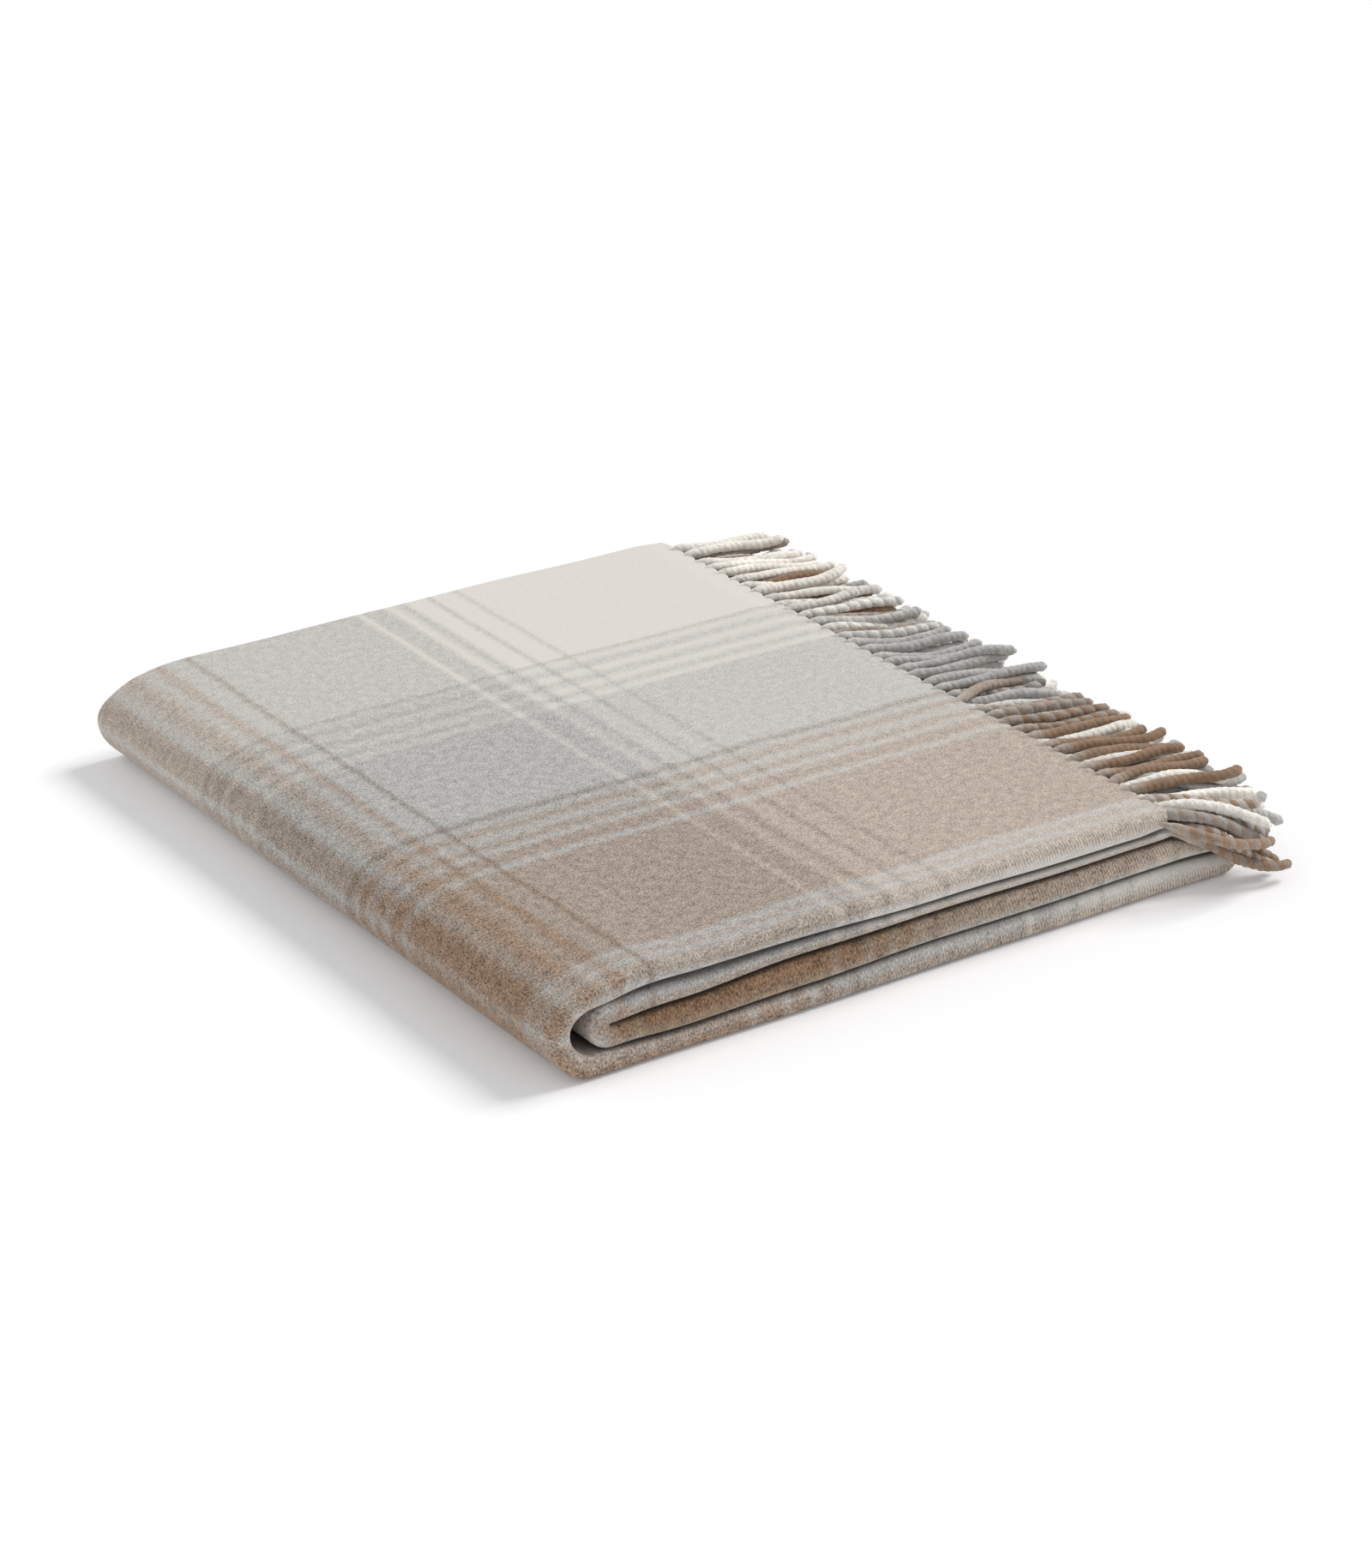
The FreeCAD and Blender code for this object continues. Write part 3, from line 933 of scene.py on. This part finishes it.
def cloth_material():
    """Brushed twill in the two setts, with nap, melange and soft stripe edges, a browner tint with
    painted shade on the third band's roll face, and painted shade in the gaps between layers.
    """
    tree = Tree("brushed_wool_plaid")
    place = tree.add("ShaderNodeUVMap", uv_map="weave").outputs[0]
    split = tree.add("ShaderNodeSeparateXYZ", place)
    along, over = split.outputs[0], split.outputs[1]
    millimetres = tree.vector("SCALE", place)
    millimetres.node.inputs["Scale"].default_value = 1000.0

    drift = tree.noise(millimetres, 0.012, 2.0)
    fuzz = tree.noise(millimetres, 0.55, 4.0, 0.75)
    drift_parts = tree.add("ShaderNodeSeparateColor", drift.outputs[1])
    fuzz_parts = tree.add("ShaderNodeSeparateColor", fuzz.outputs[1])

    # The nap drags the stripes about more where it is brushed up over the left fold.
    on_fold = tree.map(along, FOLD_AT - 0.025, FOLD_AT + 0.005)
    off_fold = tree.map(along, BOTTOM_AT, BOTTOM_AT + 0.030, 1.0, 0.0)
    dragged = tree.math("MULTIPLY", on_fold, off_fold)
    drag = tree.math("MULTIPLY_ADD", dragged, 0.0075, 0.0048)

    def nudged(value, channel):
        slow = tree.math("MULTIPLY_ADD", drift_parts.outputs[channel], 0.005, -0.0025)
        centred = tree.math("SUBTRACT", fuzz_parts.outputs[channel], 0.5)
        fast = tree.math("MULTIPLY", centred, drag)
        return tree.math("ADD", tree.math("ADD", value, slow), fast)

    warp_at = tree.math("PINGPONG", nudged(over, 0), CLOTH_WIDTH / 2)
    warp_at = tree.math("DIVIDE", warp_at, CLOTH_WIDTH / 2)
    half = tree.math("PINGPONG", nudged(along, 1), CLOTH_LENGTH / 2)
    weft_at = tree.math("DIVIDE", tree.math("PINGPONG", half, WEFT_TURN), WEFT_TURN)
    warp = tree.ramp(warp_at, sett_stops(WARP_SETT))
    weft = tree.ramp(weft_at, sett_stops(WEFT_SETT))
    darker = tree.vector("MINIMUM", warp, weft)
    lighter = tree.vector("MAXIMUM", warp, weft)
    cloth = tree.blend(LIGHTER_SHARE, darker, lighter)

    # Melange: light and dark fibres, plainer in the pale yarn.
    grain = tree.noise(millimetres, 1.05, 3.0, 0.75, (1.0, 0.85, 1.0)).outputs[0]
    clumps = tree.noise(millimetres, 0.20, 3.0, 0.65).outputs[0]
    tone = tree.add("ShaderNodeRGBToBW", cloth).outputs[0]
    depth = tree.map(tone, 0.20, 0.72, 4.3, 0.22)
    mixed = tree.math("MULTIPLY_ADD", clumps, 0.34, tree.math("MULTIPLY", grain, 1.05))
    mixed = tree.math("SUBTRACT", mixed, 0.695)
    speckle = tree.math("MULTIPLY_ADD", tree.math("MULTIPLY", mixed, depth), 1.25, 1.0)

    # The twill shows where the nap is pressed flat, along the front rolls.
    position = tree.add("ShaderNodeTexCoord").outputs["Object"]
    sideways = tree.add("ShaderNodeSeparateXYZ", position).outputs[0]
    right = tree.map(sideways, -0.10, 0.12)
    roll_middle = DEPTH - EDGE_INSET - ROLL_CENTRE + 2.5 * MM
    distance = tree.math("ABSOLUTE", tree.math("SUBTRACT", over, roll_middle))
    pressed = tree.math("MULTIPLY", tree.map(distance, 0.0035, 0.0065, 1.0, 0.0), right)
    diagonal = tree.math("MULTIPLY_ADD", over, 0.55, along)
    wave = tree.math("SINE", tree.math("MULTIPLY", diagonal, 2 * math.pi / TWILL_PITCH))
    twill = tree.math("MULTIPLY", wave, tree.math("MULTIPLY_ADD", pressed, 0.9, 0.05))
    speckle = tree.math("MULTIPLY_ADD", twill, 0.26, speckle)
    colour = tree.vector("MULTIPLY", cloth, speckle)

    # The front face of the third band's roll is tinted browner and darker than its yarn, most of
    # all on the left, because the photograph shows it so. The browner hue is the cloth's colour;
    # the darkening is painted shade on that front face.
    from_band = tree.map(along, THIRD_BAND_AT - 0.030, THIRD_BAND_AT + 0.010)
    to_band = tree.map(along, INNER_FOLD_AT - 0.015, INNER_FOLD_AT + 0.010, 1.0, 0.0)
    face = tree.map(distance, 0.006, 0.010, 1.0, 0.0)
    brown = tree.math("MULTIPLY", tree.math("MULTIPLY", from_band, to_band), face)
    leftward = tree.map(sideways, -0.12, 0.10, 1.0, 0.45)
    brown = tree.math("MULTIPLY", brown, leftward)
    colour = tree.blend(brown, colour, BROWN_TINT_AND_PAINTED_SHADE, "MULTIPLY")

    # Painted shade: darkens the base colour toward near black in the narrow gaps between the
    # layers, by how enclosed each point is (ambient occlusion).
    cavity = tree.add("ShaderNodeAmbientOcclusion", samples=8)
    cavity.inputs["Distance"].default_value = CAVITY_REACH
    painted_gap_shade = tree.map(cavity.outputs["AO"], 0.05, 0.42, 0.85, 0.0)
    colour = tree.blend(painted_gap_shade, colour, PAINTED_GAP_SHADE_COLOUR)

    nap = tree.noise(millimetres, 1.05, 3.0, 0.65).outputs[0]
    height = tree.math("MULTIPLY_ADD", twill, 0.20, nap)
    height = tree.math("MULTIPLY_ADD", clumps, 0.25, height)
    return tree.wool(colour, height, 1.6 * MM, 0.28)


def tassel_material():
    """Twisted wool yarn, coloured by ply, with fibre grain along the twist."""
    tree = Tree("twisted_wool_yarn")
    yarn = tree.add("ShaderNodeVertexColor", layer_name="yarn").outputs[0]
    position = tree.add("ShaderNodeTexCoord").outputs["Object"]
    place = tree.add("ShaderNodeUVMap", uv_map="yarn_run").outputs[0]
    fibre = tree.noise(place, 900.0, 3.0, 0.6, (0.6, 1.6, 1.0)).outputs[0]
    fluff = tree.noise(position, 700.0, 3.0, 0.65).outputs[0]
    patch = tree.noise(position, 160.0, 2.0, 0.5).outputs[0]
    grain = tree.math("MULTIPLY_ADD", fluff, 0.8, tree.math("MULTIPLY", patch, 0.5))
    speckle = tree.math("ADD", grain, 0.36)
    colour = tree.vector("MULTIPLY", yarn, speckle)
    height = tree.math("MULTIPLY_ADD", fibre, 0.6, fluff)
    return tree.wool(colour, height, 0.6 * MM, 0.35)


plaid = cloth_material()
yarn = tassel_material()
cloth_pieces = (top_cloth, outer_fold, lower_cloth, inner_fold, second_cloth)
for piece in cloth_pieces:
    piece.data.materials.append(plaid)
for piece in tassel_rows:
    piece.data.materials.append(yarn)


# ---------------------------------------------------------------- what each piece stands for

THIRD_NAMES = ("outer", "tucked", "inner")


def panel_nodes(panel):
    """The CAD nodes of one panel of three leaves."""
    leaves = [f"{panel}_{third}_third" for third in THIRD_NAMES]
    return leaves + [f"{panel}_front_roll", f"{panel}_back_fold"]


def fold_nodes(fold):
    """The CAD nodes of one fold of three leaves."""
    return [f"{fold}_{third}_third" for third in THIRD_NAMES]


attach(top_cloth, "upper_half")
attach(second_cloth, "upper_half")
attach(lower_cloth, "lower_half")
for row, name in zip(tassel_rows, ROW_NAMES):
    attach(row, "upper_half")
    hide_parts(f"{name}_fringe")
for piece in (outer_fold, inner_fold):
    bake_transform(piece)
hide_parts(*panel_nodes("top_panel"))
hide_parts(*panel_nodes("upper_middle_panel"))
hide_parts(*fold_nodes("left_outer_fold"))
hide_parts(*fold_nodes("left_inner_fold"))
lower_nodes = panel_nodes("bottom_panel") + panel_nodes("lower_middle_panel")
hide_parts(*lower_nodes, *fold_nodes("right_fold"))


# ---------------------------------------------------------------- floor, light and camera


def make_floor():
    """A wide pale floor just under the cloth."""
    reach = 9.0
    below = -0.3 * MM
    square = [(-reach, -reach, below), (reach, -reach, below), (reach, reach, below)]
    square.append((-reach, reach, below))
    floor = new_mesh_object("floor", square, [(0, 1, 2, 3)])
    tree = Tree("pale_floor")
    shader = tree.nodes.new("ShaderNodeBsdfPrincipled")
    shader.inputs["Base Color"].default_value = (0.90, 0.90, 0.91, 1.0)
    shader.inputs["Roughness"].default_value = 0.9
    shader.inputs["Specular IOR Level"].default_value = 0.1
    shader.inputs["Emission Color"].default_value = (1.0, 1.0, 1.0, 1.0)
    shader.inputs["Emission Strength"].default_value = 0.15
    output = tree.nodes.new("ShaderNodeOutputMaterial")
    tree.links.new(shader.outputs[0], output.inputs[0])
    floor.data.materials.append(tree.material)


def add_sun(name, azimuth, elevation, spread, energy, colour):
    """A broad far light; the angles are in degrees."""
    turn = math.radians(azimuth)
    rise = math.radians(elevation)
    flat = math.cos(rise)
    direction = Vector((flat * math.cos(turn), flat * math.sin(turn), math.sin(rise)))
    lamp = bpy.data.lights.new(name, "SUN")
    lamp.angle = math.radians(spread)
    lamp.energy = energy
    lamp.color = colour
    sun = bpy.data.objects.new(name, lamp)
    sun.location = direction * 2
    sun.rotation_euler = direction.to_track_quat("Z", "Y").to_euler()
    bpy.context.scene.collection.objects.link(sun)


def make_light():
    """A broad key from the right and a weak fill from the far left, in an even pale room."""
    add_sun("key", -3, 45, 26, 2.0, (1.0, 0.985, 0.965))
    add_sun("fill", 150, 32, 80, 0.36, (0.985, 0.99, 1.0))

    world = bpy.data.worlds.new("room")
    world.use_nodes = True
    nodes = world.node_tree.nodes
    links = world.node_tree.links
    nodes.clear()
    room = nodes.new("ShaderNodeBackground")
    room.inputs["Color"].default_value = (0.97, 0.98, 1.0, 1.0)
    room.inputs["Strength"].default_value = 0.50
    backdrop = nodes.new("ShaderNodeBackground")
    backdrop.inputs["Strength"].default_value = 1.05
    backdrop.inputs["Color"].default_value = (1.0, 1.0, 1.0, 1.0)
    seen = nodes.new("ShaderNodeLightPath")
    choose = nodes.new("ShaderNodeMixShader")
    output = nodes.new("ShaderNodeOutputWorld")
    links.new(seen.outputs["Is Camera Ray"], choose.inputs[0])
    links.new(room.outputs[0], choose.inputs[1])
    links.new(backdrop.outputs[0], choose.inputs[2])
    links.new(choose.outputs[0], output.inputs[0])
    bpy.context.scene.world = world
    bpy.context.scene.view_settings.view_transform = "Standard"


def make_camera():
    """Looks down on the front left corner with a long lens."""
    turn = math.radians(-34.31)
    down = math.radians(24.34)
    away = 2.2168
    middle = (Vector(cad_box[0]) + Vector(cad_box[1])) / 2
    aim = middle + Vector((-7.3, -21.4, 0)) * MM
    forward = Vector(
        (
            -math.sin(turn) * math.cos(down),
            math.cos(turn) * math.cos(down),
            -math.sin(down),
        )
    )
    data = bpy.data.cameras.new("camera")
    data.sensor_fit = "VERTICAL"
    data.sensor_height = 36.0
    data.lens = 95.2
    camera = bpy.data.objects.new("camera", data)
    camera.location = aim - forward * away
    camera.rotation_euler = forward.to_track_quat("-Z", "Y").to_euler()
    bpy.context.scene.collection.objects.link(camera)
    bpy.context.scene.camera = camera


make_floor()
make_light()
make_camera()
